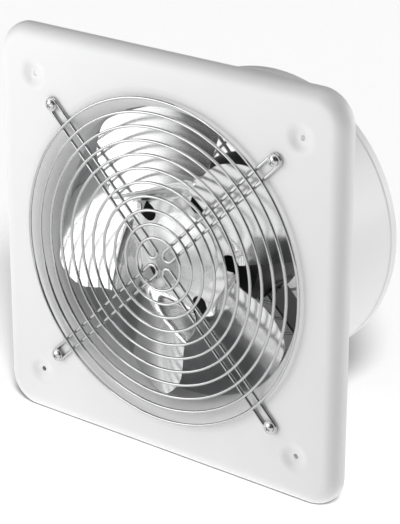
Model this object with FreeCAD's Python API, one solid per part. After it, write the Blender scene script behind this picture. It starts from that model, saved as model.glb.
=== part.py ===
import FreeCAD, Part
import math
import os

# Axial duct fan: a pressed square plate with a bellmouth, a round duct behind it, wire guards at both
# ends, a five-blade stamped impeller and the motor that carries it on four strip arms.
# Millimetres. X right, Z up, the fan axis along Y, air flowing from the guard at -Y towards +Y.
# The origin is on the fan axis, in the plane where the four wall screws seat.
# Every "depth" is measured from the front face of the plate, backwards.

# Front plate
plate_size = 340.0
plate_corner_r = 28.0
rim_depth = 14.0
rim_round_r = 12.0
sheet = 1.0
mouth_r = 143.0
throat_r = 123.0
collar_end = 32.0
dimple_offset = 131.0
dimple_r = 14.0
dimple_seat_r = 2.8
dimple_depth = 3.2
wall_screw_hole_r = 2.25

# Duct
duct_r = 125.0
duct_front = 21.0
duct_end = 148.0
bead_depth = 0.8
bead_width = 4.0
bead_from_end = 9.0

# Wire guards
ring_count = 11
first_ring_r = 21.9
ring_pitch = 11.35
ring_wire_r = 1.2
leg_wire_r = 1.4
leg_gap = 9.6
leg_inner_r = 11.0
weld_bite = 0.1
diagonals = [45.0, 135.0, 225.0, 315.0]
rear_ring_count = 6
rear_first_ring_r = 43.0
rear_ring_pitch = 13.0
rear_leg_depth = 141.0
rear_leg_inner_r = 38.0
rear_leg_bend_r = 5.0
rear_leg_tail = 14.0

# Guard fasteners, M4
guard_screw_offset = 110.0
guard_hole_r = 2.25
screw_r = 1.95
screw_end = 7.0
head_r = 4.1
head_side = 1.1
head_height = 2.6
recess_width = 0.9
recess_length = 4.6
recess_depth = 1.5
washer_r = 5.5
washer_thickness = 0.9
nut_width = 7.0
nut_height = 3.2
nut_bore_r = 2.0

# Impeller, stamped in one piece
blade_count = 5
first_blade_angle = 37.5
impeller_depth = 30.0
impeller_sheet = 1.2
hub_flat_r = 44.0
tip_r = 121.5
# The bent blade, half way out: how far it stands in front of the hub's flat, its slope and camber across,
# its rise along, and the length over which it bends out of the flat
mid_blade_r = 85.0
blade_lift = 11.0
blade_slope = 0.405
blade_camber = 0.0023
blade_rise = 0.06
blade_bend = 14.0
# Corners of the blade seen along the axis: distance from the axis, and degrees from the blade's middle
# towards the leading edge
leading_edge = [(116.0, 17.2), (99.0, 25.2), (74.0, 31.0)]
tip_leading_angle = 10.9
tip_trailing_angle = -26.3
trailing_corner = (116.5, -30.8)
trailing_round = (120.3, -29.0)
root_leading_s = 15.5
root_leading_turn = 254.0
root_trailing_s = -31.0
# Where the blade's sections are drawn: across it, and how many in the bend at its root
blade_span = [-66.0, -40.0, -20.0, 0.0, 20.0, 40.0, 56.0]
bend_stations = 8
blade_reach = 35.0
notch_r = 7.0
notch_centre_r = 44.5

# Hub
bush_r = 11.0
bush_end = 43.0
bush_flange_r = 30.0
bush_flange = 3.0
spigot_r = 10.5
spigot_front = 25.0
cap_r = 33.0
cap_rim = 0.6
cap_slope = 1.0 / 3.0
cap_nose_r = 6.0
cap_wall = 1.2
cap_collar_r = 11.7
cap_collar_end = 28.0
rivet_circle_r = 20.0
rivet_r = 2.0
rivet_head_r = 3.6
rivet_head = 1.6
grub_r = 2.5
grub_depth = 38.8

# Motor
shaft_r = 4.0
shaft_front = 24.5
shaft_chamfer = 0.8
motor_r = 60.0
can_wall = 2.0
can_front = 52.0
can_end = 114.0
shield_thickness = 4.0
shield_spigot = 3.0
boss_r = 16.0
boss_step = 2.0
shaft_clearance = 1.0
bearing_r = 11.0
bearing_width = 7.0
bearing_float = 0.3
front_bearing = 50.0
rear_bearing = 109.0
race_r = 7.65
ball_r = 1.98
groove_r = 2.05
ball_count = 7
inner_race_r = 6.1
outer_race_r = 9.2
core_front = 64.0
core_end = 102.0
stator_bore_r = 34.0
winding_reach = 6.0
winding_gap = 0.2
winding_inset = 1.5
rotor_r = 33.6
cage_inner_r = 16.0
cage_outer_r = 32.0
cage_length = 4.0
running_gap = 0.05

# Motor arms
arm_thickness = 2.0
arm_front = 84.0
arm_end = 110.0
arm_foot_half = 14.0
arm_saddle_half = 11.0
arm_screw_offset = 7.0
arm_screw_r = 1.9
arm_screw_head_r = 3.2
arm_screw_head = 1.8

# Terminal box
box_width = 52.0
box_height = 38.0
box_front = 120.0
box_end = 133.0
box_wall = 2.0
lid_thickness = 2.5
lid_screw_places = (-21.0, 21.0)
gland_r = 6.4
gland_length = 15.0
gland_round_r = 1.5
gland_nose_r = 4.2
gland_bore_r = 3.2

axis = FreeCAD.Vector(0, 1, 0)
origin = FreeCAD.Vector(0, 0, 0)


def spot(x, depth, z):
    """A point in the part's frame, from its depth behind the plate's front face."""
    return FreeCAD.Vector(x, depth - dimple_depth, z)


def turned(shape, angle):
    """A copy turned about the fan axis, anticlockwise seen from the front."""
    copy = shape.copy()
    copy.rotate(origin, axis, -angle)
    return copy


def moved(shape, x, z):
    copy = shape.copy()
    copy.translate(FreeCAD.Vector(x, 0, z))
    return copy


def cylinder(radius, front, end, x=0.0, z=0.0):
    return Part.makeCylinder(radius, end - front, spot(x, front, z), axis)


def block(x0, x1, front, end, z0, z1):
    return Part.makeBox(x1 - x0, end - front, z1 - z0, spot(x0, front, z0))


def lathe(start, steps):
    """A solid of revolution about Y from (radius, depth) corners; a step of two corners is an arc."""
    edges = []
    here = spot(*start, 0)
    for step in steps + [start]:
        if isinstance(step[0], tuple):
            middle, end = [spot(*corner, 0) for corner in step]
            edges.append(Part.Arc(here, middle, end).toShape())
        else:
            end = spot(*step, 0)
            edges.append(Part.LineSegment(here, end).toShape())
        here = end
    return Part.Face(Part.Wire(edges)).revolve(origin, axis, 360)


def arc_point(centre, radius, angle):
    """The point at an angle on an arc in the (radius, depth) plane."""
    turn = math.radians(angle)
    return (centre[0] + radius * math.cos(turn), centre[1] + radius * math.sin(turn))


def dome_middle(radius, rise):
    """The middle of a spherical cap's arc, as its distance from the axis and its drop from the crown."""
    sphere_r = (radius * radius + rise * rise) / (2 * rise)
    half = math.asin(radius / sphere_r) / 2
    return (sphere_r * math.sin(half), sphere_r * (1 - math.cos(half)))


def four_corners(shape, offset):
    return [moved(shape, x, z) for x in (-offset, offset) for z in (-offset, offset)]


def save(name, shapes):
    shape = shapes[0] if len(shapes) == 1 else Part.makeCompound(shapes)
    shape.exportStep("parts/" + name + ".step")
    volume = sum(solid.Volume for solid in shape.Solids)
    print(name, len(shape.Solids), "valid" if shape.isValid() else "NOT VALID", round(volume, 1))


# Front plate

def rounded_block(size, corner_r, front, end, edge_r):
    """A square block with rounded corners and its front edges rounded over."""
    body = block(-size / 2, size / 2, front, end, -size / 2, size / 2)
    corners = [edge for edge in body.Edges if edge.BoundBox.YLength > (end - front) / 2]
    body = body.makeFillet(corner_r, corners)
    face_y = spot(0, front, 0).y
    outline = [edge for edge in body.Edges if edge.BoundBox.YMax < face_y + sheet / 10]
    return body.makeFillet(edge_r, outline)


def bellmouth():
    """The inlet's quarter round, from the flat of the plate to a short collar inside the duct."""
    curve_r = mouth_r - throat_r
    centre = (mouth_r, curve_r)
    rear_r = curve_r - sheet
    return lathe(
        (mouth_r, 0.0),
        [
            (arc_point(centre, curve_r, 225), (throat_r, curve_r)),
            (throat_r, collar_end),
            (throat_r + sheet, collar_end),
            (throat_r + sheet, curve_r),
            (arc_point(centre, rear_r, 225), (mouth_r, sheet)),
        ],
    )


def dimple():
    """A soft pressed dish: two equal tangent arcs from the plate down to a flat screw seat."""
    run = dimple_r - dimple_seat_r
    slope = 2 * math.atan2(dimple_depth, run)
    bend_r = run / (2 * math.sin(slope))
    half = math.degrees(slope) / 2
    lip = arc_point((dimple_r, bend_r), bend_r, 270 - half)
    toe = arc_point((dimple_seat_r, dimple_depth - bend_r), bend_r, 90 - half)
    bend = ((dimple_r + dimple_seat_r) / 2, dimple_depth / 2)

    def behind(corner):
        return (corner[0], corner[1] + sheet)

    return lathe(
        (dimple_r, 0.0),
        [
            (lip, bend),
            (toe, (dimple_seat_r, dimple_depth)),
            (0.0, dimple_depth),
            (0.0, dimple_depth + sheet),
            behind((dimple_seat_r, dimple_depth)),
            (behind(toe), behind(bend)),
            (behind(lip), (dimple_r, sheet)),
        ],
    )


def front_plate():
    outer = rounded_block(plate_size, plate_corner_r, 0, rim_depth, rim_round_r)
    inner_size = plate_size - 2 * sheet
    inner = rounded_block(inner_size, plate_corner_r - sheet, sheet, rim_depth + sheet, rim_round_r - sheet)
    plate = outer.cut(inner)
    plate = plate.cut(cylinder(mouth_r, -sheet, 2 * sheet))
    plate = plate.cut(four_corners(cylinder(dimple_r, -sheet, 2 * sheet), dimple_offset))
    plate = plate.fuse([bellmouth()] + four_corners(dimple(), dimple_offset)).removeSplitter()
    holes = four_corners(cylinder(wall_screw_hole_r, 0, rim_depth), dimple_offset)
    holes += four_corners(cylinder(guard_hole_r, -sheet, rim_depth), guard_screw_offset)
    return plate.cut(holes)


# Duct

def duct_tube():
    """The round duct, with one bead rolled inwards near its open end."""
    inside = duct_r - sheet
    bead_end = duct_end - bead_from_end + bead_width / 2
    bead_start = bead_end - bead_width
    bead_middle = (bead_start + bead_end) / 2
    return lathe(
        (duct_r, duct_front),
        [
            (duct_r, bead_start),
            ((duct_r - bead_depth, bead_middle), (duct_r, bead_end)),
            (duct_r, duct_end),
            (inside, duct_end),
            (inside, bead_end),
            ((inside - bead_depth, bead_middle), (inside, bead_start)),
            (inside, duct_front),
        ],
    )


# Wire guards

def guard_ring(radius, depth):
    return Part.makeTorus(radius, ring_wire_r, spot(0, depth, 0), axis)


def wire_section(centre, normal):
    return Part.Face(Part.Wire(Part.makeCircle(leg_wire_r, centre, normal)))


def hairpin_side(inner_r, outer_r, depth, z):
    along = FreeCAD.Vector(outer_r - inner_r, 0, 0)
    return wire_section(spot(inner_r, depth, z), along).extrude(along)


def guard_leg():
    """A closed hairpin of wire along +X, lying on the plate and going round its screw at the outer end."""
    depth = -leg_wire_r
    half = leg_gap / 2
    outer_r = guard_screw_offset * math.sqrt(2)
    along = FreeCAD.Vector(1, 0, 0)
    start = wire_section(spot(leg_inner_r, depth, half), along)
    finish = wire_section(spot(outer_r, depth, half), along)
    pieces = [
        hairpin_side(leg_inner_r, outer_r, depth, half),
        hairpin_side(leg_inner_r, outer_r, depth, -half),
        start.revolve(spot(leg_inner_r, depth, 0), axis, -180),
        finish.revolve(spot(outer_r, depth, 0), axis, 180),
    ]
    return pieces[0].fuse(pieces[1:]).removeSplitter()


def rear_guard_leg():
    """A hairpin along +X whose two open ends bend forwards and lie on the inside of the duct."""
    depth = rear_leg_depth
    half = leg_gap / 2
    wall_r = math.sqrt((duct_r - sheet) ** 2 - (half + leg_wire_r) ** 2) - leg_wire_r
    outer_r = wall_r - rear_leg_bend_r
    along = FreeCAD.Vector(1, 0, 0)
    start = wire_section(spot(rear_leg_inner_r, depth, half), along)
    pieces = [start.revolve(spot(rear_leg_inner_r, depth, 0), axis, -180)]
    for z in (-half, half):
        pieces.append(hairpin_side(rear_leg_inner_r, outer_r, depth, z))
        bend_centre = spot(outer_r, depth - rear_leg_bend_r, z)
        bend = wire_section(spot(outer_r, depth, z), along)
        pieces.append(bend.revolve(bend_centre, FreeCAD.Vector(0, 0, -1), 90))
        tail = wire_section(spot(wall_r, depth - rear_leg_bend_r, z), axis)
        pieces.append(tail.extrude(FreeCAD.Vector(0, -rear_leg_tail, 0)))
    return pieces[0].fuse(pieces[1:]).removeSplitter()


# Guard fasteners

def guard_screw():
    """A pan-head screw with a cross recess, its head on the washer."""
    seat = -2 * leg_wire_r - washer_thickness
    crown = seat - head_height
    shoulder = seat - head_side
    middle_r, drop = dome_middle(head_r, shoulder - crown)
    screw = lathe(
        (0.0, crown),
        [
            ((middle_r, crown + drop), (head_r, shoulder)),
            (head_r, seat),
            (screw_r, seat),
            (screw_r, screw_end),
            (0.0, screw_end),
        ],
    )
    half_width = recess_width / 2
    half_length = recess_length / 2
    recess_end = crown + recess_depth
    slot = block(-half_length, half_length, crown - sheet, recess_end, -half_width, half_width)
    return screw.cut([turned(slot, 45), turned(slot, 135)])


def guard_washer():
    seat = -2 * leg_wire_r
    washer = cylinder(washer_r, seat - washer_thickness, seat)
    return washer.cut(cylinder(guard_hole_r, seat - 2 * washer_thickness, seat + washer_thickness))


def guard_nut():
    corner = nut_width / math.sqrt(3)
    angles = [math.radians(60 * step) for step in range(7)]
    outline = Part.makePolygon([spot(corner * math.cos(a), sheet, corner * math.sin(a)) for a in angles])
    nut = Part.Face(outline).extrude(axis * nut_height)
    return nut.cut(cylinder(nut_bore_r, 0, sheet + 2 * nut_height))


# Impeller

def blade_depth(u, s):
    """How far the blade stands behind the hub's flat, at a distance u out from the axis along the
    blade's centre line and s across it; the blade bends out of the flat and is cambered across."""
    share = min(1.0, (u - hub_flat_r) / blade_bend)
    blend = share * share * (3 - 2 * share)
    across = blade_camber * s * s - blade_slope * s
    along = blade_rise * (u - mid_blade_r)
    return blend * (across + along - blade_lift)


def blade_section(u):
    """A thin cambered strip across the blade at distance u from the axis."""
    curves = []
    for lift in (0.0, impeller_sheet):
        curve = Part.BSplineCurve()
        curve.interpolate([spot(u, impeller_depth + lift + blade_depth(u, s), s) for s in blade_span])
        curves.append(curve)
    front, rear = curves
    last = Part.LineSegment(front.EndPoint, rear.EndPoint)
    first = Part.LineSegment(rear.StartPoint, front.StartPoint)
    rear.reverse()
    return Part.Wire([front.toShape(), last.toShape(), rear.toShape(), first.toShape()])


def blade_outline(front, end):
    """The blade seen along the axis, as a prism: a straight trailing edge, a tip that follows the duct
    and a leading edge swept round into the tip."""
    def corner(radius, angle):
        turn = math.radians(angle)
        return spot(radius * math.cos(turn), front, radius * math.sin(turn))

    root_u = hub_flat_r - impeller_sheet
    root_trailing = spot(root_u, front, root_trailing_s)
    root_leading = spot(root_u, front, root_leading_s)
    tip_start = corner(tip_r, tip_trailing_angle)
    tip_end = corner(tip_r, tip_leading_angle)
    along_tip = corner(1.0, tip_leading_angle + 90) - corner(0.0, 0.0)
    into_hub = corner(1.0, root_leading_turn) - corner(0.0, 0.0)
    leading = Part.BSplineCurve()
    leading_points = [tip_end] + [corner(*place) for place in leading_edge] + [root_leading]
    leading.interpolate(leading_points, InitialTangent=along_tip, FinalTangent=into_hub)
    tip_middle = corner(tip_r, (tip_leading_angle + tip_trailing_angle) / 2)
    edges = [
        Part.LineSegment(root_trailing, corner(*trailing_corner)).toShape(),
        Part.Arc(corner(*trailing_corner), corner(*trailing_round), tip_start).toShape(),
        Part.Arc(tip_start, tip_middle, tip_end).toShape(),
        leading.toShape(),
        Part.LineSegment(root_leading, root_trailing).toShape(),
    ]
    return Part.Face(Part.Wire(edges)).extrude(axis * (end - front))


def blade():
    """A short bend out of the hub's flat, then a strip that runs straight out, cut to the outline."""
    stations = [hub_flat_r + blade_bend * number / (bend_stations - 1) for number in range(bend_stations)]
    bend = Part.makeLoft([blade_section(u) for u in stations], True, False)
    ends = [hub_flat_r + blade_bend, tip_r + 2 * impeller_sheet]
    strip = bend.fuse(Part.makeLoft([blade_section(u) for u in ends], True, True))
    return strip.common(blade_outline(impeller_depth - blade_reach, impeller_depth + blade_reach))


def impeller():
    """A flat five-sided hub with a blade on each side and a round-ended relief between the blades."""
    step = 360.0 / blade_count
    corner_r = hub_flat_r / math.cos(math.radians(step / 2))
    angles = [math.radians(step * (number + 0.5)) for number in range(blade_count + 1)]
    front = [spot(corner_r * math.cos(a), impeller_depth, corner_r * math.sin(a)) for a in angles]
    hub = Part.Face(Part.makePolygon(front)).extrude(axis * impeller_sheet)
    slot = block(notch_centre_r, tip_r, 0, 2 * impeller_depth, -notch_r, notch_r)
    hub = hub.cut([turned(slot, step * (number + 0.5)) for number in range(blade_count)])
    paddle = blade()
    sheet_metal = hub.fuse([turned(paddle, step * number) for number in range(blade_count)]).removeSplitter()
    notch = cylinder(notch_r, 0, 2 * impeller_depth, notch_centre_r)
    sheet_metal = sheet_metal.cut([turned(notch, step * (number + 0.5)) for number in range(blade_count)])
    hole = cylinder(spigot_r, 0, 2 * impeller_depth)
    rivet_hole = cylinder(rivet_r, 0, 2 * impeller_depth, rivet_circle_r)
    rivet_holes = [turned(rivet_hole, step * number) for number in range(blade_count)]
    return turned(sheet_metal.cut([hole] + rivet_holes), first_blade_angle)


# Hub

def hub_bush():
    """The turned bush that carries the impeller on the shaft."""
    seat = impeller_depth + impeller_sheet
    bush = lathe(
        (shaft_r, spigot_front),
        [
            (spigot_r, spigot_front),
            (spigot_r, seat),
            (bush_flange_r, seat),
            (bush_flange_r, seat + bush_flange),
            (bush_r, seat + bush_flange),
            (bush_r, bush_end),
            (shaft_r, bush_end),
        ],
    )
    rivet_hole = cylinder(rivet_r, 0, 2 * bush_end, rivet_circle_r)
    step = 360.0 / blade_count
    holes = [turned(rivet_hole, first_blade_angle + step * number) for number in range(blade_count)]
    grub_hole = Part.makeCylinder(grub_r, bush_r, spot(0, grub_depth, shaft_r / 2), FreeCAD.Vector(0, 0, 1))
    return bush.cut(holes + [grub_hole])


def grub_screw():
    length = bush_r - shaft_r - running_gap
    foot = spot(0, grub_depth, shaft_r + running_gap)
    screw = Part.makeCylinder(grub_r - running_gap, length, foot, FreeCAD.Vector(0, 0, 1))
    return screw.cut(cylinder(shaft_r + running_gap, shaft_front, bush_end))


def hub_cap():
    """A turned cone over the middle of the impeller, with a collar pressed on the bush's spigot."""
    def cone(radius):
        return impeller_depth - cap_rim - (cap_r - radius) * cap_slope

    nose = cone(cap_nose_r)
    rise = cap_nose_r * cap_slope / 2
    middle_r, drop = dome_middle(cap_nose_r, rise)
    crown = nose - rise
    inside_r = cap_r - (cap_wall - cap_rim) / cap_slope
    return lathe(
        (cap_r, impeller_depth),
        [
            (cap_r, cone(cap_r)),
            (cap_nose_r, nose),
            ((middle_r, crown + drop), (0.0, crown)),
            (0.0, crown + cap_wall),
            ((middle_r, crown + drop + cap_wall), (cap_nose_r, nose + cap_wall)),
            (spigot_r, cone(spigot_r) + cap_wall),
            (spigot_r, cap_collar_end),
            (cap_collar_r, cap_collar_end),
            (cap_collar_r, cone(cap_collar_r) + cap_wall),
            (inside_r, impeller_depth),
        ],
    )


def rivet():
    """A domed rivet through the impeller and the bush's flange, with a formed head behind."""
    front = impeller_depth
    rear = impeller_depth + impeller_sheet + bush_flange
    middle_r, drop = dome_middle(rivet_head_r, rivet_head)
    return lathe(
        (0.0, front - rivet_head),
        [
            ((middle_r, front - rivet_head + drop), (rivet_head_r, front)),
            (rivet_r, front),
            (rivet_r, rear),
            (rivet_head_r, rear),
            ((middle_r, rear + rivet_head - drop), (0.0, rear + rivet_head)),
        ],
    )


def impeller_rivets():
    step = 360.0 / blade_count
    placed = moved(rivet(), rivet_circle_r, 0)
    return [turned(placed, first_blade_angle + step * number) for number in range(blade_count)]


# Motor

def front_end_shield():
    spigot = motor_r - can_wall
    front = can_front - shield_thickness
    return lathe(
        (shaft_r + shaft_clearance, front - boss_step),
        [
            (boss_r - boss_step, front - boss_step),
            (boss_r, front),
            (motor_r, front),
            (motor_r, can_front),
            (spigot, can_front),
            (spigot, can_front + shield_spigot),
            (spigot - shield_spigot, can_front + shield_spigot),
            (spigot - shield_spigot, can_front),
            (boss_r, can_front),
            (boss_r, front_bearing + bearing_width),
            (bearing_r, front_bearing + bearing_width),
            (bearing_r, front_bearing),
            (shaft_r + shaft_clearance, front_bearing),
        ],
    )


def rear_end_shield():
    spigot = motor_r - can_wall
    end = can_end + shield_thickness
    floor = rear_bearing + bearing_width + bearing_float
    return lathe(
        (bearing_r, rear_bearing),
        [
            (boss_r, rear_bearing),
            (boss_r, can_end),
            (spigot - shield_spigot, can_end),
            (spigot - shield_spigot, can_end - shield_spigot),
            (spigot, can_end - shield_spigot),
            (spigot, can_end),
            (motor_r, can_end),
            (motor_r, end),
            (boss_r + boss_step, end),
            (boss_r, end + boss_step),
            (0.0, end + boss_step),
            (0.0, floor),
            (bearing_r, floor),
        ],
    )


def motor_can():
    can = cylinder(motor_r, can_front, can_end).cut(cylinder(motor_r - can_wall, can_front, can_end))
    holes = [turned(hole, angle) for angle in diagonals for hole in arm_screw_holes()]
    return can.cut(holes)


def stator_core():
    core = cylinder(motor_r - can_wall - running_gap, core_front, core_end)
    return core.cut(cylinder(stator_bore_r, core_front, core_end))


def end_winding(front, end):
    """One ring of end turns, rounded at its free edges."""
    round_r = (end - front) / 2
    middle = (front + end) / 2
    inside = stator_bore_r + winding_inset + round_r
    outside = motor_r - can_wall - shield_spigot - winding_inset - round_r
    return lathe(
        (outside, front),
        [
            ((outside + round_r, middle), (outside, end)),
            (inside, end),
            ((inside - round_r, middle), (inside, front)),
        ],
    )


def stator_windings():
    return [
        end_winding(core_front - winding_gap - winding_reach, core_front - winding_gap),
        end_winding(core_end + winding_gap, core_end + winding_gap + winding_reach),
    ]


def rotor_core():
    """The laminated core and the cast cage's end rings, pressed on the shaft."""
    return lathe(
        (shaft_r, core_front),
        [
            (cage_inner_r, core_front),
            (cage_inner_r, core_front - cage_length),
            (cage_outer_r, core_front - cage_length),
            (cage_outer_r, core_front),
            (rotor_r, core_front),
            (rotor_r, core_end),
            (cage_outer_r, core_end),
            (cage_outer_r, core_end + cage_length),
            (cage_inner_r, core_end + cage_length),
            (cage_inner_r, core_end),
            (shaft_r, core_end),
        ],
    )


def motor_shaft():
    end = rear_bearing + bearing_width
    return lathe(
        (0.0, shaft_front),
        [
            (shaft_r - shaft_chamfer, shaft_front),
            (shaft_r, shaft_front + shaft_chamfer),
            (shaft_r, end - shaft_chamfer),
            (shaft_r - shaft_chamfer, end),
            (0.0, end),
        ],
    )


def bearing(front):
    """Outer ring, balls and inner ring of a deep-groove bearing."""
    end = front + bearing_width
    middle = (front + end) / 2
    groove = Part.makeTorus(race_r, groove_r, spot(0, middle, 0), axis)
    outer = cylinder(bearing_r, front, end).cut([cylinder(outer_race_r, front, end), groove])
    inner = cylinder(inner_race_r, front, end).cut([cylinder(shaft_r, front, end), groove])
    ball = Part.makeSphere(ball_r, spot(race_r, middle, 0))
    balls = [turned(ball, 360.0 * number / ball_count) for number in range(ball_count)]
    return outer, balls, inner


# Motor arms

def arm_screw_holes():
    """The two screw holes of an arm along +X, from outside its saddle to the inside of the can."""
    start = motor_r - 2 * can_wall
    length = 2 * can_wall + 2 * arm_thickness
    out = FreeCAD.Vector(1, 0, 0)
    middle = (arm_front + arm_end) / 2
    places = [spot(start, middle, z) for z in (-arm_screw_offset, arm_screw_offset)]
    return [Part.makeCylinder(arm_screw_r + running_gap, length, place, out) for place in places]


def curved_foot(inner_r, outer_r, half_width):
    """A strip bent to lie on a cylinder, across the +X direction."""
    shell = cylinder(outer_r, arm_front, arm_end).cut(cylinder(inner_r, arm_front, arm_end))
    return shell.common(block(0, outer_r, arm_front, arm_end, -half_width, half_width))


def motor_arm():
    """A flat strip along +X, edge on to the air, with a saddle on the motor and a foot on the duct."""
    inside = duct_r - sheet
    saddle_r = motor_r + arm_thickness
    half = arm_thickness / 2
    strip = block(saddle_r - half, inside - half, arm_front, arm_end, -half, half)
    foot = curved_foot(inside - arm_thickness, inside, arm_foot_half)
    saddle = curved_foot(motor_r, saddle_r, arm_saddle_half)
    return strip.fuse([foot, saddle]).removeSplitter().cut(arm_screw_holes())


def arm_screw(z):
    """A cheese-head screw along +X through an arm's saddle into the can."""
    out = FreeCAD.Vector(1, 0, 0)
    middle = (arm_front + arm_end) / 2
    seat = motor_r + arm_thickness
    head = Part.makeCylinder(arm_screw_head_r, arm_screw_head, spot(seat, middle, z), out)
    shank_start = motor_r - can_wall + running_gap
    shank = Part.makeCylinder(arm_screw_r, seat - shank_start, spot(shank_start, middle, z), out)
    return head.fuse(shank).removeSplitter()


def arm_screws():
    pair = [arm_screw(-arm_screw_offset), arm_screw(arm_screw_offset)]
    return [turned(screw, angle) for angle in diagonals for screw in pair]


# Terminal box

def terminal_box():
    half_width = box_width / 2
    half_height = box_height / 2
    outside = block(-half_width, half_width, box_front, box_end, -half_height, half_height)
    edges = [edge for edge in outside.Edges if edge.BoundBox.YLength > box_wall]
    outside = outside.makeFillet(2 * box_wall, edges)
    inside = block(
        -half_width + box_wall,
        half_width - box_wall,
        box_front + box_wall,
        box_end + box_wall,
        -half_height + box_wall,
        half_height - box_wall,
    )
    posts = [cylinder(2 * box_wall, box_front, box_end, x) for x in lid_screw_places]
    holes = [cylinder(arm_screw_r, box_front + box_wall, box_end, x) for x in lid_screw_places]
    middle = (box_front + box_end) / 2
    gland_place = spot(0, middle, -half_height - box_wall)
    gland_hole = Part.makeCylinder(gland_nose_r, 3 * box_wall, gland_place, FreeCAD.Vector(0, 0, 1))
    return outside.cut(inside).fuse(posts).removeSplitter().cut(holes + [gland_hole])


def terminal_box_lid():
    half_width = box_width / 2
    half_height = box_height / 2
    lid = block(-half_width, half_width, box_end, box_end + lid_thickness, -half_height, half_height)
    edges = [edge for edge in lid.Edges if edge.BoundBox.YLength > lid_thickness / 2]
    lid = lid.makeFillet(2 * box_wall, edges)
    clearance = arm_screw_r + 2 * running_gap
    return lid.cut([cylinder(clearance, box_end, box_end + lid_thickness, x) for x in lid_screw_places])


def lid_screws():
    lid_face = box_end + lid_thickness
    screws = []
    for x in lid_screw_places:
        head = cylinder(arm_screw_head_r, lid_face, lid_face + arm_screw_head, x)
        shank = cylinder(arm_screw_r - running_gap, box_end - 4 * box_wall, lid_face, x)
        screws.append(head.fuse(shank).removeSplitter())
    return screws


def cable_gland():
    """A round gland on the underside of the terminal box, bored for a cable."""
    down = FreeCAD.Vector(0, 0, -1)
    half_height = box_height / 2
    middle = (box_front + box_end) / 2
    inside = spot(0, middle, -half_height + box_wall)
    nose = Part.makeCylinder(gland_nose_r - running_gap, box_wall, inside, down)
    body = Part.makeCylinder(gland_r, gland_length, spot(0, middle, -half_height), down)
    lower_edges = [edge for edge in body.Edges if edge.BoundBox.ZMax < -half_height - gland_round_r]
    body = body.makeFillet(gland_round_r, lower_edges)
    bore = Part.makeCylinder(gland_bore_r, gland_length + 2 * box_wall, inside, down)
    return body.fuse(nose).removeSplitter().cut(bore)


os.makedirs("parts", exist_ok=True)

save("front_plate", [front_plate()])
save("duct_tube", [duct_tube()])

front_ring_depth = -2 * leg_wire_r - ring_wire_r + weld_bite
for number in range(ring_count):
    radius = first_ring_r + ring_pitch * number
    save("guard_ring_%02d" % (number + 1), [guard_ring(radius, front_ring_depth)])
for number, angle in enumerate(diagonals, 1):
    save("guard_leg_%d" % number, [turned(guard_leg(), angle)])
save("guard_screws", four_corners(guard_screw(), guard_screw_offset))
save("guard_washers", four_corners(guard_washer(), guard_screw_offset))
save("guard_nuts", four_corners(guard_nut(), guard_screw_offset))

rear_ring_depth = rear_leg_depth + leg_wire_r + ring_wire_r - weld_bite
for number in range(rear_ring_count):
    radius = rear_first_ring_r + rear_ring_pitch * number
    save("rear_guard_ring_%d" % (number + 1), [guard_ring(radius, rear_ring_depth)])
for number, angle in enumerate(diagonals, 1):
    save("rear_guard_leg_%d" % number, [turned(rear_guard_leg(), angle)])

save("impeller", [impeller()])
save("hub_bush", [hub_bush()])
save("grub_screw", [grub_screw()])
save("hub_cap", [hub_cap()])
save("impeller_rivets", impeller_rivets())

save("motor_can", [motor_can()])
save("front_end_shield", [front_end_shield()])
save("rear_end_shield", [rear_end_shield()])
save("stator_core", [stator_core()])
save("stator_windings", stator_windings())
save("rotor_core", [rotor_core()])
save("motor_shaft", [motor_shaft()])
for side, front in (("front", front_bearing), ("rear", rear_bearing)):
    outer_ring, balls, inner_ring = bearing(front)
    save(side + "_bearing_outer_ring", [outer_ring])
    save(side + "_bearing_balls", balls)
    save(side + "_bearing_inner_ring", [inner_ring])

for number, angle in enumerate(diagonals, 1):
    save("motor_arm_%d" % number, [turned(motor_arm(), angle)])
save("motor_arm_screws", arm_screws())

save("terminal_box", [terminal_box()])
save("terminal_box_lid", [terminal_box_lid()])
save("terminal_box_screws", lid_screws())
save("cable_gland", [cable_gland()])
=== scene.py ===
# %% [markdown]
# # An axial duct fan for the wall
#
# The fan is a pressed white plate with a wire guard, a short duct behind it, and a stamped aluminium
# impeller on a motor inside the duct. The solids already have the right shapes and sizes, so this lesson
# dresses them: it sets up the camera, gives each solid the finish of its real material, adds the small
# things that make a welded and screwed object look made, and then lights it.

# %% Load the solids
import fnmatch
import math

import bpy
from mathutils import Matrix, Vector


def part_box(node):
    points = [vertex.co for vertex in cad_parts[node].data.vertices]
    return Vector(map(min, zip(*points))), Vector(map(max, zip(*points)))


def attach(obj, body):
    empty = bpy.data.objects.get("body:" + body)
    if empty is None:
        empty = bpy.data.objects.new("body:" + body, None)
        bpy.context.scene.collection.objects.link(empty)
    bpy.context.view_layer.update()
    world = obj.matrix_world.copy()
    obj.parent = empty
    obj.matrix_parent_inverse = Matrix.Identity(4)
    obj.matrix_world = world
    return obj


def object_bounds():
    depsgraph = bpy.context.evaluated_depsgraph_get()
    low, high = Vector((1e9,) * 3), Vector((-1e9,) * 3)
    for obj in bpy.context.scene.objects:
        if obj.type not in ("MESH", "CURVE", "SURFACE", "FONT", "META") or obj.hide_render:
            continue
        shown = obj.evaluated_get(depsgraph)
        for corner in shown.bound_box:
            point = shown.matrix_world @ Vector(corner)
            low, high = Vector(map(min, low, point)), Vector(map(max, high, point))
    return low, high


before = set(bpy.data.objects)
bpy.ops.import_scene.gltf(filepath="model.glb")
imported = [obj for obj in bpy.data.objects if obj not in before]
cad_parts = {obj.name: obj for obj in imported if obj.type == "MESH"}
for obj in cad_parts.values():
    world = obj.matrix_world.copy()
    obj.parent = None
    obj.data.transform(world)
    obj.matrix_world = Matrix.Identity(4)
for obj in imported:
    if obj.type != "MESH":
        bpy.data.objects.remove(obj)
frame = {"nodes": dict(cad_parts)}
cad_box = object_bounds()
scene = bpy.context.scene
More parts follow.
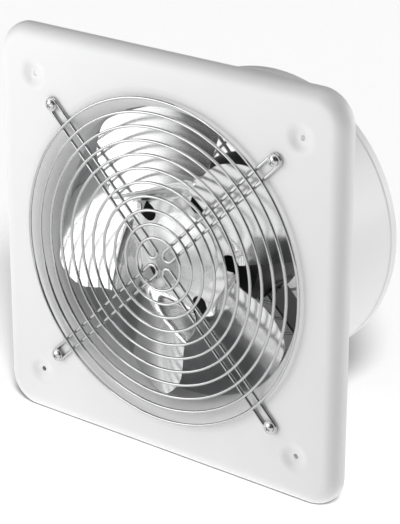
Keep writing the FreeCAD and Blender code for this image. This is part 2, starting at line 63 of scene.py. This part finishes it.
MM = 0.001
box_mm = [[round(value / MM, 1) for value in corner] for corner in cad_box]
print(len(frame["nodes"]), "solids, box in mm", box_mm)

# %% [markdown]
# ## The camera
#
# The fan is seen from its right and from above, through a long lens, so its straight edges converge only
# a little. A shorter lens nearer the fan would fill the frame as well, but then the far edge of the plate
# would shrink too much. The camera is aimed at a point on the plate's face. Its place is given by two
# angles and a distance, because those are easier to adjust than three coordinates. A shifted lens could
# keep the plate's upright edges parallel, but the shift would also push the fan out of the middle from
# every other side, so the camera simply looks down.

# %% Camera
CAMERA_AZIMUTH = 37.69
CAMERA_ELEVATION = 22.22
CAMERA_ROLL = 0.14
CAMERA_DISTANCE = 1610 * MM
CAMERA_TARGET = Vector((38.7 * MM, -3.2 * MM, 10.6 * MM))
CAMERA_LENS = 142.2


def direction(azimuth, elevation):
    """The direction from the fan to a place at an azimuth and an elevation in degrees."""
    turn, rise = math.radians(azimuth), math.radians(elevation)
    return Vector((math.sin(turn) * math.cos(rise), -math.cos(turn) * math.cos(rise), math.sin(rise)))


def looking_from(back, roll):
    """The rotation of a camera or lamp that looks back at the fan, rolled by an angle in degrees."""
    level = (-back).to_track_quat("-Z", "Y").to_matrix().to_4x4()
    return (level @ Matrix.Rotation(math.radians(roll), 4, "Z")).to_euler()


camera_side = direction(CAMERA_AZIMUTH, CAMERA_ELEVATION)
camera = bpy.data.objects.new("camera", bpy.data.cameras.new("camera"))
scene.collection.objects.link(camera)
camera.data.lens = CAMERA_LENS
camera.location = CAMERA_TARGET + camera_side * CAMERA_DISTANCE
camera.rotation_euler = looking_from(camera_side, CAMERA_ROLL)
scene.camera = camera
print("camera", [round(value, 3) for value in camera.location], "lens", CAMERA_LENS)

# %% [markdown]
# ## Helpers for materials
#
# Colours are written as the sRGB hex values that a picture editor shows. Blender's shaders work in linear
# light, so one function converts them. Another small function adds a node, sets it up and links it, which
# keeps a material readable as a list of what it is made of. No real finish is one flat colour, so a third
# function lets a pattern move the tint and the roughness together, each between two close values.

# %% Colour and node helpers
# A Mix node has sockets of the same names for numbers and for colours. These are the ones for colours.
FIRST_COLOUR = 6
SECOND_COLOUR = 7
MIXED_COLOUR = 2


def linear(hex_colour):
    """An sRGB hex colour as linear red, green, blue and alpha, by the formula of the sRGB standard."""
    parts = [int(hex_colour[place:place + 2], 16) / 255 for place in (1, 3, 5)]
    return [part / 12.92 if part <= 0.04045 else ((part + 0.055) / 1.055) ** 2.4 for part in parts] + [1.0]


def feed(tree, node, inputs):
    """Sets or links a node's inputs by name or number. Another node feeds an input by its first output."""
    for name, value in inputs.items():
        if isinstance(value, bpy.types.Node):
            value = value.outputs[0]
        if isinstance(value, bpy.types.NodeSocket):
            tree.links.new(value, node.inputs[name])
        else:
            node.inputs[name].default_value = value


def add(tree, kind, inputs=None, **settings):
    """Adds a node with its settings, and sets or links its inputs."""
    node = tree.nodes.new(kind)
    for name, value in settings.items():
        setattr(node, name, value)
    feed(tree, node, inputs or {})
    return node


def start_material(name):
    """A new material with its tree, its shader and the Object coordinates of the piece that wears it."""
    material = bpy.data.materials.new(name)
    material.use_nodes = True
    tree = material.node_tree
    place = add(tree, "ShaderNodeTexCoord").outputs["Object"]
    return material, tree, tree.nodes["Principled BSDF"], place


def vary(tree, pattern, tints, roughness):
    """The tint and the roughness that a pattern of 0 to 1 gives, each between two values."""
    tint = add(tree, "ShaderNodeMix", {
        "Factor": pattern, FIRST_COLOUR: linear(tints[0]), SECOND_COLOUR: linear(tints[1]),
    }, data_type="RGBA")
    low, high = roughness
    gloss = add(tree, "ShaderNodeMapRange", {"Value": pattern, "To Min": low, "To Max": high})
    return tint.outputs[MIXED_COLOUR], gloss


def dress(material, *patterns):
    """Gives a material to the solids whose names fit these patterns."""
    names = [name for pattern in patterns for name in fnmatch.filter(frame["nodes"], pattern)]
    for name in names:
        frame["nodes"][name].data.materials.clear()
        frame["nodes"][name].data.materials.append(material)
    print(material.name, "on", len(names), "solids")


print("the middle grey of a picture editor is", round(linear("#808080")[0], 3), "in linear light")

# %% [markdown]
# ## White powder coat
#
# The plate is steel sheet with a baked polyester powder coat. Powder melts into a film that is smooth but
# never flat: up close it has the soft pebbling called orange peel, about a millimetre across, and its
# gloss differs a little from place to place. A bump from fine noise gives the peel, and broad noise
# shifts the tint and the gloss.

# %% Powder coat on the plate
PEEL_SIZE = 1.3 * MM
PEEL_HEIGHT = 0.04 * MM
CLOUD_SIZE = 90 * MM


def powder_film(tree, place):
    """The tint, roughness and peel of the powder coat."""
    peel = add(tree, "ShaderNodeTexNoise", {"Vector": place, "Scale": 1 / PEEL_SIZE, "Detail": 2.0})
    cloud = add(tree, "ShaderNodeTexNoise", {"Vector": place, "Scale": 1 / CLOUD_SIZE, "Detail": 3.0})
    tint, gloss = vary(tree, cloud, ("#efefef", "#e8e8e8"), (0.34, 0.42))
    bump = add(tree, "ShaderNodeBump", {"Height": peel, "Strength": 0.12, "Distance": PEEL_HEIGHT})
    return tint, gloss, bump


powder_coat, tree, shader, place = start_material("white polyester powder coat")
tint, gloss, bump = powder_film(tree, place)
feed(tree, shader, {"Base Color": tint, "Roughness": gloss, "Normal": bump})
dress(powder_coat, "front_plate")

# %% [markdown]
# ## The duct, coated outside and bare inside
#
# The duct is rolled from galvanised sheet and sprayed after it is joined to the plate, so the powder
# reaches only its outside. Inside it stays bare zinc, dull and grey, with the flat patches called
# spangle. One material does both: the distance from the axis says whether a point is outside or inside,
# and that switches the tint, the gloss and how metallic it is. The outside is lowest at the bottom of the
# rolled bead, so the switch lies just under that, and still above the sheet's inner face.

# %% Duct
SPANGLE_SIZE = 9 * MM
SWITCH_DEPTH = 0.9 * MM
DULL_ZINC_METALLIC = 0.3
switch_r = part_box("duct_tube")[1].x - SWITCH_DEPTH


def axis_distance(tree, place):
    """The distance from the fan's axis."""
    apart = add(tree, "ShaderNodeSeparateXYZ", {"Vector": place})
    flat = add(tree, "ShaderNodeCombineXYZ", {"X": apart.outputs["X"], "Z": apart.outputs["Z"]})
    return add(tree, "ShaderNodeVectorMath", {0: flat}, operation="LENGTH").outputs["Value"]


duct_coat, tree, shader, place = start_material("powder coat outside, galvanised sheet inside")
coat_tint, coat_gloss, bump = powder_film(tree, place)
spangle = add(tree, "ShaderNodeTexVoronoi", {"Vector": place, "Scale": 1 / SPANGLE_SIZE})
patch = add(tree, "ShaderNodeSeparateColor", {"Color": spangle.outputs["Color"]})
zinc_tint, zinc_gloss = vary(tree, patch.outputs["Red"], ("#bec0c2", "#c8cacb"), (0.42, 0.54))
inside = add(tree, "ShaderNodeMath", {0: axis_distance(tree, place), 1: switch_r}, operation="LESS_THAN")
tint = add(tree, "ShaderNodeMix", {
    "Factor": inside, FIRST_COLOUR: coat_tint, SECOND_COLOUR: zinc_tint,
}, data_type="RGBA")
gloss = add(tree, "ShaderNodeMix", {"Factor": inside, "A": coat_gloss, "B": zinc_gloss})
metallic = add(tree, "ShaderNodeMapRange", {"Value": inside, "To Min": 0.0, "To Max": DULL_ZINC_METALLIC})
feed(tree, shader, {
    "Base Color": tint.outputs[MIXED_COLOUR], "Roughness": gloss, "Metallic": metallic, "Normal": bump,
})
dress(duct_coat, "duct_tube")
print("the coat ends at a radius of", round(switch_r / MM, 2), "mm")

# %% [markdown]
# ## Chrome-plated wire
#
# The guards are drawn steel wire, welded and then chrome plated. The plating is bright and smooth, so
# what gives a wire its look is what it mirrors: a pale line where it faces the light and dark flanks
# where it faces the rest of the room. Noise a few millimetres long keeps the gloss from being perfect.

# %% Plated wire
PLATING_SIZE = 4 * MM

plated_wire, tree, shader, place = start_material("bright chrome plate on wire")
plating = add(tree, "ShaderNodeTexNoise", {"Vector": place, "Scale": 1 / PLATING_SIZE, "Detail": 4.0})
tint, gloss = vary(tree, plating, ("#cacaca", "#b9baba"), (0.04, 0.11))
feed(tree, shader, {"Base Color": tint, "Roughness": gloss, "Metallic": 1.0})
dress(plated_wire, "guard_ring_*", "guard_leg_*", "rear_guard_*")

# %% [markdown]
# ## Zinc-plated fasteners
#
# Screws, washers and nuts are steel with a bright zinc plate. It is not as smooth as the chrome on the
# wire, so its reflections are softer, and it has a fine crystalline mottle.

# %% Zinc plate
MOTTLE_SIZE = 1.5 * MM

zinc_plate, tree, shader, place = start_material("bright zinc plate on steel")
mottle = add(tree, "ShaderNodeTexVoronoi", {"Vector": place, "Scale": 1 / MOTTLE_SIZE})
tint, gloss = vary(tree, mottle.outputs["Distance"], ("#bcbcbc", "#d4d4d3"), (0.16, 0.28))
feed(tree, shader, {"Base Color": tint, "Roughness": gloss, "Metallic": 1.0})
dress(zinc_plate, "guard_screws", "guard_washers", "guard_nuts", "grub_screw", "motor_arm_screws",
      "terminal_box_screws")

# %% [markdown]
# ## Rolled aluminium sheet
#
# The impeller is stamped from bright aluminium sheet, smooth enough to mirror the guard in front of it.
# Rolling leaves fine lines along the sheet, all in one direction, and they blur a reflection across
# themselves. Noise that is very long one way and very short the other draws the lines. On the real sheet
# they are a few hundredths of a millimetre apart, which no picture of the whole fan can show, so they are
# drawn about half a millimetre apart.

# %% Rolled aluminium
LINE_WIDTH = 0.5 * MM
LINE_LENGTH = 40 * MM
LINE_HEIGHT = 0.02 * MM
STAIN_SIZE = 25 * MM

rolled_aluminium, tree, shader, place = start_material("rolled aluminium sheet")
stretched = add(tree, "ShaderNodeMapping", {
    "Vector": place, "Scale": (1 / LINE_LENGTH, 1 / LINE_LENGTH, 1 / LINE_WIDTH),
})
lines = add(tree, "ShaderNodeTexNoise", {"Vector": stretched, "Scale": 1.0, "Detail": 3.0})
stain = add(tree, "ShaderNodeTexNoise", {"Vector": place, "Scale": 1 / STAIN_SIZE, "Detail": 4.0})
tint = add(tree, "ShaderNodeMix", {
    "Factor": lines, FIRST_COLOUR: linear("#dcdddd"), SECOND_COLOUR: linear("#ebebeb"),
}, data_type="RGBA")
gloss = add(tree, "ShaderNodeMapRange", {"Value": stain, "To Min": 0.13, "To Max": 0.20})
bump = add(tree, "ShaderNodeBump", {"Height": lines, "Strength": 0.06, "Distance": LINE_HEIGHT})
feed(tree, shader, {
    "Base Color": tint.outputs[MIXED_COLOUR], "Roughness": gloss, "Normal": bump, "Metallic": 1.0,
})
dress(rolled_aluminium, "impeller")

# %% [markdown]
# ## Turned aluminium
#
# The hub's cap and bush are turned on a lathe. The tool leaves fine rings, and rings throw the light into
# wedges that point at the middle. The rings come from the distance to the axis, and the shader's
# anisotropy with a tangent that runs round the axis throws the wedges. A lathe's rings are a tenth or two
# of a millimetre apart, too fine for this picture, so they are drawn farther apart.

# %% Turned aluminium
TOOL_PITCH = 0.6 * MM
GROOVE_HEIGHT = 0.02 * MM

turned_aluminium, tree, shader, place = start_material("turned aluminium")
turns = add(tree, "ShaderNodeMath", {
    0: axis_distance(tree, place), 1: 2 * math.pi / TOOL_PITCH,
}, operation="MULTIPLY")
groove = add(tree, "ShaderNodeMath", {0: turns}, operation="SINE")
stain = add(tree, "ShaderNodeTexNoise", {"Vector": place, "Scale": 1 / STAIN_SIZE, "Detail": 4.0})
tint, gloss = vary(tree, stain, ("#d4d5d6", "#e4e4e3"), (0.22, 0.34))
bump = add(tree, "ShaderNodeBump", {"Height": groove, "Strength": 0.1, "Distance": GROOVE_HEIGHT})
round_axis = add(tree, "ShaderNodeTangent", direction_type="RADIAL", axis="Y")
feed(tree, shader, {
    "Base Color": tint, "Roughness": gloss, "Normal": bump, "Tangent": round_axis,
    "Metallic": 1.0, "Anisotropic": 0.8,
})
dress(turned_aluminium, "hub_cap", "hub_bush", "impeller_rivets")

# %% [markdown]
# ## The motor's finishes
#
# The motor and its arms have a thin coat of black enamel over bare steel, so it is dark but not dead: it
# has a slight pebble and a satin gloss. The connection box is moulded nylon. The pieces sealed inside the
# motor get plain versions of what they are made of: stacked steel, varnished copper and ground bearing
# steel.

# %% Motor finishes
GLOSS_SWING = 0.07
PEBBLE_FLATNESS = 20


def speckled(name, tints, size, roughness, metallic):
    """A finish with two close tints in a fine noise, which also moves its gloss and raises a slight pebble
    that is wider than it is high by the flatness."""
    material, tree, shader, place = start_material(name)
    grain = add(tree, "ShaderNodeTexNoise", {"Vector": place, "Scale": 1 / size, "Detail": 4.0})
    tint, gloss = vary(tree, grain, tints, (roughness - GLOSS_SWING, roughness + GLOSS_SWING))
    bump = add(tree, "ShaderNodeBump", {
        "Height": grain, "Strength": 0.15, "Distance": size / PEBBLE_FLATNESS,
    })
    feed(tree, shader, {"Base Color": tint, "Roughness": gloss, "Normal": bump, "Metallic": metallic})
    return material


black_enamel = speckled("black enamel on steel", ("#2b2b2d", "#3a3a3c"), 1.2 * MM, 0.42, 0.0)
black_nylon = speckled("black moulded nylon", ("#1f1f20", "#2b2b2e"), 0.9 * MM, 0.55, 0.0)
stacked_steel = speckled("stacked electrical steel", ("#77797b", "#8f9193"), 0.5 * MM, 0.45, 1.0)
copper_wire = speckled("varnished copper wire", ("#8c4a26", "#b0683a"), 0.8 * MM, 0.35, 1.0)
bearing_steel = speckled("ground bearing steel", ("#b4b6b8", "#cbccce"), 2.0 * MM, 0.18, 1.0)
dress(black_enamel, "motor_can", "front_end_shield", "rear_end_shield", "motor_arm_[1-4]")
dress(black_nylon, "terminal_box", "terminal_box_lid", "cable_gland")
dress(stacked_steel, "stator_core", "rotor_core")
dress(copper_wire, "stator_windings")
dress(bearing_steel, "motor_shaft", "front_bearing_*", "rear_bearing_*")

# %% [markdown]
# ## Helpers for Geometry Nodes
#
# What repeats on the fan is made by Geometry Nodes: a tree of nodes turns a few sizes into a shape, so
# one tree can serve both guards. Every tree here works in the same way. It makes a row of numbered
# points, moves each to a spot worked out from its number, and puts a copy of a small shape there. The
# copies are then made real and kept as a plain mesh, because copies that exist only in a modifier are
# lost in an export.

# %% Tree helpers
def start_tree(name, inputs):
    """A new geometry tree with named inputs, and the sockets that give their values."""
    tree = bpy.data.node_groups.new(name, "GeometryNodeTree")
    for label, kind in inputs.items():
        tree.interface.new_socket(label, in_out="INPUT", socket_type="NodeSocket" + kind)
    tree.interface.new_socket("Geometry", in_out="OUTPUT", socket_type="NodeSocketGeometry")
    return tree, add(tree, "NodeGroupInput").outputs


def finish_tree(tree, count, spots, shape, material, **copy_inputs):
    """Copies the shape to each spot, makes the copies real and smooth, and gives them the material."""
    points = add(tree, "GeometryNodePoints", {"Count": count})
    placed = add(tree, "GeometryNodeSetPosition", {"Geometry": points, "Position": spots})
    copies = add(tree, "GeometryNodeInstanceOnPoints", {"Points": placed, "Instance": shape, **copy_inputs})
    real = add(tree, "GeometryNodeRealizeInstances", {"Geometry": copies})
    smooth = add(tree, "GeometryNodeSetShadeSmooth", {"Geometry": real})
    dressed = add(tree, "GeometryNodeSetMaterial", {"Geometry": smooth, "Material": material})
    add(tree, "NodeGroupOutput", {"Geometry": dressed})


def grow(name, tree, sizes):
    """Runs a tree with the given sizes and keeps the result as a plain mesh that rides on the housing."""
    piece = bpy.data.objects.new(name, bpy.data.meshes.new(name))
    scene.collection.objects.link(piece)
    modifier = piece.modifiers.new("rule", "NODES")
    modifier.node_group = tree
    for item in tree.interface.items_tree:
        if item.in_out == "INPUT":
            modifier[item.identifier] = sizes[item.name]
    evaluated = piece.evaluated_get(bpy.context.evaluated_depsgraph_get())
    mesh = bpy.data.meshes.new_from_object(evaluated)
    piece.modifiers.remove(modifier)
    piece.data = mesh
    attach(piece, "housing")
    print(name, len(mesh.polygons), "faces")


# %% [markdown]
# ## Welds on the guards
#
# Every ring is welded to both wires of every hairpin. Where two wires are pressed together and heated, a
# little steel is squeezed out and sets as a bead in the corner between them. There are eight beads on
# each ring, where it crosses the wires of the four hairpins, so each point's number says which ring,
# which hairpin and which of its wires the bead belongs to. No two welds come out alike, so the beads
# differ a little in size.

# %% Weld places
WIRES_PER_RING = 8
QUARTER_TURN = math.pi / 2


def in_pairs(tree, index):
    """The number of the pair that each point belongs to, and its side in it, minus or plus a half."""
    halved = add(tree, "ShaderNodeMath", {0: index, 1: 2}, operation="DIVIDE")
    pair = add(tree, "ShaderNodeMath", {0: halved}, operation="FLOOR")
    odd = add(tree, "ShaderNodeMath", {0: index, 1: 2}, operation="MODULO")
    side = add(tree, "ShaderNodeMath", {0: odd, 1: 0.5}, operation="SUBTRACT")
    return pair, side


weld_tree, given = start_tree("weld beads", {
    "Rings": "Int", "First radius": "Float", "Pitch": "Float", "Wire gap": "Float",
    "Place along axis": "Float",
})
index = add(weld_tree, "GeometryNodeInputIndex")
count = add(weld_tree, "ShaderNodeMath", {0: given["Rings"], 1: WIRES_PER_RING}, operation="MULTIPLY")
ring_share = add(weld_tree, "ShaderNodeMath", {0: index, 1: WIRES_PER_RING}, operation="DIVIDE")
ring = add(weld_tree, "ShaderNodeMath", {0: ring_share}, operation="FLOOR")
radius = add(weld_tree, "ShaderNodeMath", {
    0: ring, 1: given["Pitch"], 2: given["First radius"],
}, operation="MULTIPLY_ADD")
hairpin, side = in_pairs(weld_tree, index)
across = add(weld_tree, "ShaderNodeMath", {0: side, 1: given["Wire gap"]}, operation="MULTIPLY")

# A wire runs beside the diagonal, so it meets the ring a little nearer than the radius.
radius_square = add(weld_tree, "ShaderNodeMath", {0: radius, 1: 2}, operation="POWER")
across_square = add(weld_tree, "ShaderNodeMath", {0: across, 1: 2}, operation="POWER")
along_square = add(weld_tree, "ShaderNodeMath", {0: radius_square, 1: across_square}, operation="SUBTRACT")
along = add(weld_tree, "ShaderNodeMath", {0: along_square}, operation="SQRT")
spot = add(weld_tree, "ShaderNodeCombineXYZ", {"X": along, "Y": given["Place along axis"], "Z": across})
turn = add(weld_tree, "ShaderNodeMath", {
    0: hairpin, 1: QUARTER_TURN, 2: QUARTER_TURN / 2,
}, operation="MULTIPLY_ADD")
turned_spot = add(weld_tree, "ShaderNodeVectorRotate", {
    "Vector": spot, "Angle": turn,
}, rotation_type="Y_AXIS")
print("weld places take", len(weld_tree.nodes), "nodes")

# %% Weld beads
WIRE_GAP = 9.6 * MM
BEAD_R = 1.55 * MM
BEAD_FLATNESS = 0.62
SMALLEST_BEAD = 0.85
LARGEST_BEAD = 1.1
BEAD_SEED = 7

bead = add(weld_tree, "GeometryNodeMeshUVSphere", {"Segments": 8, "Rings": 6, "Radius": BEAD_R})
flat_bead = add(weld_tree, "GeometryNodeTransform", {"Geometry": bead, "Scale": (1.0, BEAD_FLATNESS, 1.0)})
# The limits of a random decimal number are sockets 2 and 3, and the number comes out of socket 1.
uneven = add(weld_tree, "FunctionNodeRandomValue", {
    2: SMALLEST_BEAD, 3: LARGEST_BEAD, "Seed": BEAD_SEED,
}, data_type="FLOAT")
finish_tree(weld_tree, count, turned_spot, flat_bead, plated_wire, Scale=uneven.outputs[1])


def guard_sizes(ring_prefix):
    """What the welds of a guard need to know. Its rings lie on the outer side of its hairpins, so the front
    guard's rings touch them with their backs, and the rear guard's with their fronts."""
    boxes = [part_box(name) for name in sorted(frame["nodes"]) if name.startswith(ring_prefix)]
    front, back = boxes[0][0].y, boxes[0][1].y
    wire_r = (back - front) / 2
    radii = [box[1].x - wire_r for box in boxes]
    return {
        "Rings": len(boxes),
        "First radius": radii[0],
        "Pitch": (radii[-1] - radii[0]) / (len(radii) - 1),
        "Wire gap": WIRE_GAP,
        "Place along axis": back if back < 0 else front,
    }


grow("guard_welds", weld_tree, guard_sizes("guard_ring_"))
grow("rear_guard_welds", weld_tree, guard_sizes("rear_guard_ring_"))

# %% [markdown]
# ## Threads behind the guard's nuts
#
# Each guard screw comes out of its nut with a few turns of thread showing. The solid is a plain rod
# there, so a thin helix is wound round it: a spiral curve with a small round section, copied to the four
# screws, which stand in two rows of two.

# %% Screw threads
SCREW_COUNT = 4
SCREW_R = 1.95 * MM
WASHER_R = 5.5 * MM
THREAD_PITCH = 0.7 * MM
THREAD_CREST = 0.2 * MM

thread_tree, given = start_tree("screw threads", {
    "Offset": "Float", "Start": "Float", "Length": "Float", "Radius": "Float", "Pitch": "Float",
})
turns = add(thread_tree, "ShaderNodeMath", {0: given["Length"], 1: given["Pitch"]}, operation="DIVIDE")
helix = add(thread_tree, "GeometryNodeCurveSpiral", {
    "Resolution": 20, "Rotations": turns, "Height": given["Length"],
    "Start Radius": given["Radius"], "End Radius": given["Radius"],
})
crest = add(thread_tree, "GeometryNodeCurvePrimitiveCircle", {"Resolution": 6, "Radius": THREAD_CREST})
thread = add(thread_tree, "GeometryNodeCurveToMesh", {
    "Curve": helix, "Profile Curve": crest, "Fill Caps": True,
})
backwards = add(thread_tree, "GeometryNodeTransform", {
    "Geometry": thread, "Rotation": (-QUARTER_TURN, 0.0, 0.0),
})
index = add(thread_tree, "GeometryNodeInputIndex")
pair, column = in_pairs(thread_tree, index)
row = add(thread_tree, "ShaderNodeMath", {0: pair, 1: 0.5}, operation="SUBTRACT")
apart = add(thread_tree, "ShaderNodeMath", {0: given["Offset"], 1: 2}, operation="MULTIPLY")
right = add(thread_tree, "ShaderNodeMath", {0: column, 1: apart}, operation="MULTIPLY")
up = add(thread_tree, "ShaderNodeMath", {0: row, 1: apart}, operation="MULTIPLY")
spot = add(thread_tree, "ShaderNodeCombineXYZ", {"X": right, "Y": given["Start"], "Z": up})
finish_tree(thread_tree, SCREW_COUNT, spot, backwards, zinc_plate)

thread_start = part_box("guard_nuts")[1].y
grow("guard_screw_threads", thread_tree, {
    "Offset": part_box("guard_washers")[1].x - WASHER_R,
    "Start": thread_start,
    "Length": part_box("guard_screws")[1].y - thread_start - THREAD_CREST,
    "Radius": SCREW_R - THREAD_CREST / 2,
    "Pitch": THREAD_PITCH,
})

# %% [markdown]
# ## Spot welds on the duct
#
# The duct is slipped over the plate's collar and spot welded to it. Each weld leaves a shallow round mark
# with a slightly raised rim, which the powder coat covers but does not hide. The marks are small rings,
# turned to lie flat on the duct, evenly round it.

# %% Spot welds
WELD_COUNT = 12
WELD_MARK_R = 2.6 * MM
WELD_RIM = 0.3 * MM


def in_circle(tree, index, count):
    """The cosine and the sine of each point's angle when the points stand evenly round a circle."""
    share = add(tree, "ShaderNodeMath", {0: index, 1: 2 * math.pi}, operation="MULTIPLY")
    turn = add(tree, "ShaderNodeMath", {0: share, 1: count}, operation="DIVIDE")
    cosine = add(tree, "ShaderNodeMath", {0: turn}, operation="COSINE")
    sine = add(tree, "ShaderNodeMath", {0: turn}, operation="SINE")
    return cosine, sine


mark_tree, given = start_tree("spot welds", {
    "Count": "Int", "Radius": "Float", "Place along axis": "Float",
})
index = add(mark_tree, "GeometryNodeInputIndex")
cosine, sine = in_circle(mark_tree, index, given["Count"])
outwards = add(mark_tree, "ShaderNodeCombineXYZ", {"X": cosine, "Z": sine})
along = add(mark_tree, "ShaderNodeCombineXYZ", {"Y": given["Place along axis"]})
spot = add(mark_tree, "ShaderNodeVectorMath", {
    0: outwards, 1: given["Radius"], 2: along,
}, operation="MULTIPLY_ADD")
circle = add(mark_tree, "GeometryNodeCurvePrimitiveCircle", {"Resolution": 16, "Radius": WELD_MARK_R})
section = add(mark_tree, "GeometryNodeCurvePrimitiveCircle", {"Resolution": 6, "Radius": WELD_RIM})
rim = add(mark_tree, "GeometryNodeCurveToMesh", {"Curve": circle, "Profile Curve": section})
lie_flat = add(mark_tree, "FunctionNodeAlignRotationToVector", {"Vector": outwards}, axis="Z")
finish_tree(mark_tree, given["Count"], spot, rim, powder_coat, Rotation=lie_flat)

duct_low, duct_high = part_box("duct_tube")
grow("duct_spot_welds", mark_tree, {
    "Count": WELD_COUNT,
    "Radius": duct_high.x,
    "Place along axis": (duct_low.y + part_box("front_plate")[1].y) / 2,
})

# %% [markdown]
# ## Grip ribs on the cable gland
#
# A gland's nut is moulded with ribs, so that fingers can tighten it. They stand round it like the teeth
# of a knob: thin rounded bars, half sunk into the nut.

# %% Gland ribs
RIB_COUNT = 18
RIB_R = 0.6 * MM
RIB_MARGIN = 2.5 * MM

rib_tree, given = start_tree("gland ribs", {
    "Count": "Int", "Radius": "Float", "Length": "Float", "Centre": "Vector",
})
index = add(rib_tree, "GeometryNodeInputIndex")
cosine, sine = in_circle(rib_tree, index, given["Count"])
outwards = add(rib_tree, "ShaderNodeCombineXYZ", {"X": cosine, "Y": sine})
spot = add(rib_tree, "ShaderNodeVectorMath", {
    0: outwards, 1: given["Radius"], 2: given["Centre"],
}, operation="MULTIPLY_ADD")
rib = add(rib_tree, "GeometryNodeMeshCylinder", {"Vertices": 8, "Radius": RIB_R, "Depth": given["Length"]})
finish_tree(rib_tree, given["Count"], spot, rib, black_nylon)

gland_low, gland_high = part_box("cable_gland")
rib_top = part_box("terminal_box")[0].z - RIB_MARGIN
rib_bottom = gland_low.z + RIB_MARGIN
grow("cable_gland_ribs", rib_tree, {
    "Count": RIB_COUNT,
    "Radius": gland_high.x,
    "Length": rib_top - rib_bottom,
    "Centre": (0.0, (gland_low.y + gland_high.y) / 2, (rib_top + rib_bottom) / 2),
})

# %% [markdown]
# ## The floor
#
# The fan stands on a sheet of pale studio paper, so wide that its edge stays out of sight. Paper has
# almost no gloss, and its fibres are far too fine to show, so a faint mottle a few millimetres across
# stands for them.

# %% Floor
FLOOR_SIZE = 120.0
FIBRE_SIZE = 3 * MM
PAPER_ROUGHNESS = 0.9

half = FLOOR_SIZE / 2
floor_z = cad_box[0].z
corners = [(-half, -half, floor_z), (half, -half, floor_z), (half, half, floor_z), (-half, half, floor_z)]
floor_mesh = bpy.data.meshes.new("floor")
floor_mesh.from_pydata(corners, [], [(0, 1, 2, 3)])
floor = bpy.data.objects.new("floor", floor_mesh)
scene.collection.objects.link(floor)

studio_paper, tree, shader, place = start_material("pale studio paper")
fibres = add(tree, "ShaderNodeTexNoise", {"Vector": place, "Scale": 1 / FIBRE_SIZE, "Detail": 2.0})
tint = add(tree, "ShaderNodeMix", {
    "Factor": fibres, FIRST_COLOUR: linear("#e6e6e6"), SECOND_COLOUR: linear("#ececec"),
}, data_type="RGBA")
feed(tree, shader, {"Base Color": tint.outputs[MIXED_COLOUR], "Roughness": PAPER_ROUGHNESS})
floor_mesh.materials.append(studio_paper)
print("floor at", round(floor_z / MM, 1), "mm")

# %% [markdown]
# ## The lights
#
# The fan is lit as catalogue objects are. A large soft light stands at its front left, a small low one
# almost straight in front of it, one behind it at the right, which shapes the side of the duct, and one
# hangs above it. The rest of the room is dim. A metal surface shows whatever it faces, so it is the dim
# room at the front right that darkens one side of the upper blade and draws dark flanks along the wires.
#
# The paper has two lights of its own: a far one from the front right, and a weak one overhead that fills
# the shadow. Light linking keeps them off the fan and keeps the fan's lights off the paper, so the paper
# stays even while the fan is shaped. The fan still casts its shadow on the paper, and that is what
# darkens the view through the duct.

# %% Lights
def hang(lamp, side, distance, roll, paper_state):
    """Hangs a lamp on one side of the fan, looking at it. The state says whether it falls on the paper
    alone (INCLUDE) or on all but the paper (EXCLUDE)."""
    holder = bpy.data.objects.new(lamp.name, lamp)
    scene.collection.objects.link(holder)
    holder.location = side * distance
    holder.rotation_euler = looking_from(side, roll)
    group = bpy.data.collections.new(lamp.name)
    group.objects.link(floor)
    group.collection_objects[0].light_linking.link_state = paper_state
    holder.light_linking.receiver_collection = group
    print(lamp.name, round(lamp.energy, 2))


def fan_light(name, azimuth, elevation, distance, width, height, power, roll=0.0):
    """A soft rectangular light that falls on all but the paper. Its angles are in degrees."""
    lamp = bpy.data.lights.new(name, "AREA")
    lamp.shape = "RECTANGLE"
    lamp.size = width
    lamp.size_y = height
    lamp.energy = power
    hang(lamp, direction(azimuth, elevation), distance, roll, "EXCLUDE")


def paper_light(name, azimuth, elevation, disc, strength):
    """A far light that falls on the paper alone. Its angles and the width of its disc are in degrees."""
    lamp = bpy.data.lights.new(name, "SUN")
    lamp.angle = math.radians(disc)
    lamp.energy = strength
    hang(lamp, direction(azimuth, elevation), 0.0, 0.0, "INCLUDE")


fan_light("key light", azimuth=-44, elevation=17, distance=1.0, width=0.92, height=0.84, power=5.4)
fan_light("low front light", azimuth=-7, elevation=10.4, distance=0.615, width=0.44, height=0.24, power=0.4,
          roll=45)
fan_light("side light", azimuth=136, elevation=16, distance=1.5, width=0.9, height=1.0, power=10)
fan_light("top light", azimuth=0, elevation=80, distance=1.7, width=1.5, height=1.5, power=9.5)
paper_light("paper light", azimuth=41.5, elevation=41, disc=15, strength=5.0)
paper_light("paper fill", azimuth=0, elevation=88, disc=120, strength=0.32)

# %% [markdown]
# ## The room
#
# The dim room is a plain world of even white light. The Standard view transform shows colours as they
# are, where the default one would grey the white plate.

# %% Room
ROOM_STRENGTH = 0.05

world = bpy.data.worlds.new("studio")
scene.world = world
world.use_nodes = True
feed(world.node_tree, world.node_tree.nodes["Background"], {
    "Color": linear("#ffffff"), "Strength": ROOM_STRENGTH,
})
scene.view_settings.view_transform = "Standard"
print("room at", ROOM_STRENGTH)
